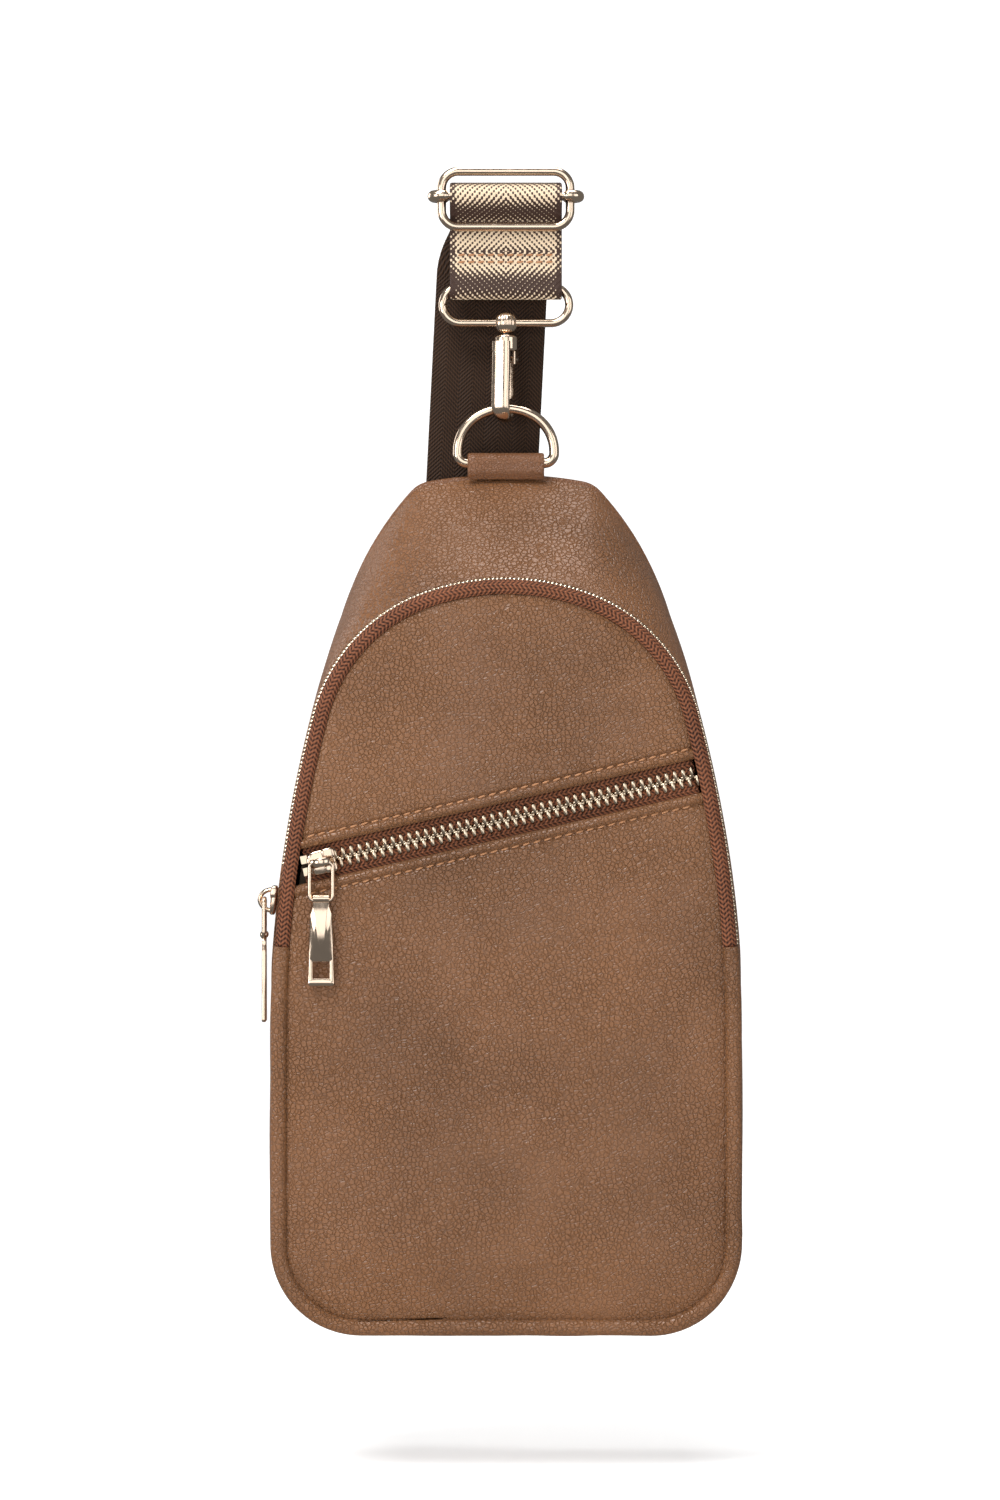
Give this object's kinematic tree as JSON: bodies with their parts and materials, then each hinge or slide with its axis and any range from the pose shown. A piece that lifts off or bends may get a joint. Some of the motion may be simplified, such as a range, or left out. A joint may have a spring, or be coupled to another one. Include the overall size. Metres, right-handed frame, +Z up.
{
  "type": "sling bag",
  "caption": "Teardrop leather sling bag with a zipped main compartment, a slanted pocket zip, a swivel hook and an adjustable webbing strap.",
  "frame": {"origin": "middle of the underside of the strap adjuster's top bar, where a peg holds the hanging bag", "axes": "+Z up, -Y towards the bag's zipped front, +X to the right seen from the front"},
  "size_m": [0.1614, 0.0681, 0.39],
  "materials": {
    "leather_body": "pebbled brown leather",
    "leather_trim": "pebbled brown leather, lighter",
    "lining_cloth": "plain woven lining",
    "padding": "foam sheet",
    "board": "grained board",
    "zip_tape": "herringbone tape",
    "zip_metal": "polished",
    "puller_metal": "pale gold, polished",
    "strap_metal": "pale gold, polished",
    "steel": "drawn wire",
    "webbing": "jacquard webbing, patterned face",
    "webbing_back": "jacquard webbing, dark face",
    "thread": "bonded thread"
  },
  "bodies": {
    "adjuster": {"adjuster_frame": "strap_metal", "adjuster_bar": "strap_metal", "strap_bar_wrap": "webbing", "strap_sewn_end": "webbing_back", "strap_front_leg": "webbing", "strap_inner_upper": "webbing_back", "strap_outer_upper": "webbing_back"},
    "eye_loop": {"strap_eye_loop": "webbing", "strap_stitches": "thread"},
    "hook_eye": {"hook_eye": "strap_metal", "swivel_pin": "strap_metal"},
    "hook": {"hook_body": "strap_metal", "gate_pin": "steel", "gate_spring": "steel"},
    "gate": {"hook_gate": "strap_metal"},
    "d_ring": {"d_ring": "strap_metal"},
    "bag": {"lower_gusset": "leather_body", "crown_gusset": "leather_trim", "gusset_lining": "lining_cloth", "crown_lining": "lining_cloth", "zip_end_tabs": "leather_body", "back_panel": "leather_body", "back_board": "board", "back_padding": "padding", "back_lining": "lining_cloth", "slip_pocket": "lining_cloth", "front_panel_lower": "leather_body", "front_rim": "leather_body", "front_lining": "lining_cloth", "main_zip_rear_tape": "zip_tape", "main_zip_rear_teeth": "zip_metal", "d_ring_tab": "leather_trim", "lower_tab": "leather_trim", "lower_ring": "strap_metal", "strap_inner_lower": "webbing_back", "strap_outer_lower": "webbing_back", "strap_ring_turn": "webbing_back"},
    "front_flap": {"front_panel_upper": "leather_trim", "front_panel_middle": "leather_body", "pocket_lining": "lining_cloth", "main_zip_front_tape": "zip_tape", "main_zip_front_teeth": "zip_metal", "pocket_zip_upper_tape": "zip_tape", "pocket_zip_upper_teeth": "zip_metal", "pocket_zip_lower_tape": "zip_tape", "pocket_zip_lower_teeth": "zip_metal", "pocket_zip_stops": "zip_metal"},
    "pocket_slider": {"pocket_slider": "puller_metal"},
    "pocket_bail": {"pocket_bail": "puller_metal"},
    "pocket_pull": {"pocket_pull": "puller_metal"},
    "main_slider": {"main_slider": "puller_metal"},
    "main_bail": {"main_bail": "puller_metal"},
    "main_pull": {"main_pull": "puller_metal"}
  },
  "joints": [
    {"name": "strap_adjust", "type": "slide", "parent": "adjuster", "child": "eye_loop", "axis": [0, 0, -1], "range_m": [0, 0.03], "deforming": ["strap_front_leg", "strap_inner_upper", "strap_outer_upper"]},
    {"name": "eye_swing", "type": "hinge", "parent": "eye_loop", "child": "hook_eye", "pos_m": [0, 0, -0.0369], "axis": [1, 0, 0], "range_deg": [-18, 18]},
    {"name": "hook_swivel", "type": "hinge", "parent": "hook_eye", "child": "hook", "pos_m": [0, 0, -0.0555], "axis": [0, 0, 1], "range_deg": [-30, 30]},
    {"name": "gate_press", "type": "hinge", "parent": "hook", "child": "gate", "pos_m": [0.00161, 0.00344, -0.0616], "axis": [-0.9063, 0.4226, 0], "range_deg": [0, 16], "stiffness_Nm_per_rad": 0.02},
    {"name": "ring_swing", "type": "hinge", "parent": "hook", "child": "d_ring", "pos_m": [0, 0, -0.0784], "axis": [1, 0, 0], "range_deg": [-18, 18]},
    {"name": "bag_swing", "type": "hinge", "parent": "d_ring", "child": "bag", "pos_m": [0, 0, -0.097], "axis": [1, 0, 0], "range_deg": [-12, 25]},
    {"name": "front_open", "type": "hinge", "parent": "bag", "child": "front_flap", "pos_m": [0, -0.0524, -0.282], "axis": [1, 0, 0], "range_deg": [0, 28]},
    {"name": "pocket_zip", "type": "slide", "parent": "front_flap", "child": "pocket_slider", "axis": [0.9747, 0, 0.2237], "range_m": [0, 0.112]},
    {"name": "pocket_bail_swing", "type": "hinge", "parent": "pocket_slider", "child": "pocket_bail", "pos_m": [-0.06063, -0.0542, -0.23133], "axis": [-1, 0, 0], "range_deg": [0, 100]},
    {"name": "pocket_pull_swing", "type": "hinge", "parent": "pocket_bail", "child": "pocket_pull", "pos_m": [-0.06063, -0.0542, -0.24383], "axis": [-1, 0, 0], "range_deg": [0, 80]},
    {"name": "main_zip", "type": "hinge", "parent": "bag", "child": "main_slider", "pos_m": [0.33476, 0, -0.289], "axis": [0, 1, 0], "range_deg": [0, 7.5]},
    {"name": "main_bail_swing", "type": "hinge", "parent": "main_slider", "child": "main_bail", "pos_m": [-0.07971, -0.045, -0.24349], "axis": [0, 1, 0], "range_deg": [0, 100]},
    {"name": "main_pull_swing", "type": "hinge", "parent": "main_bail", "child": "main_pull", "pos_m": [-0.07971, -0.045, -0.25599], "axis": [0, 1, 0], "range_deg": [0, 80]}
  ]
}
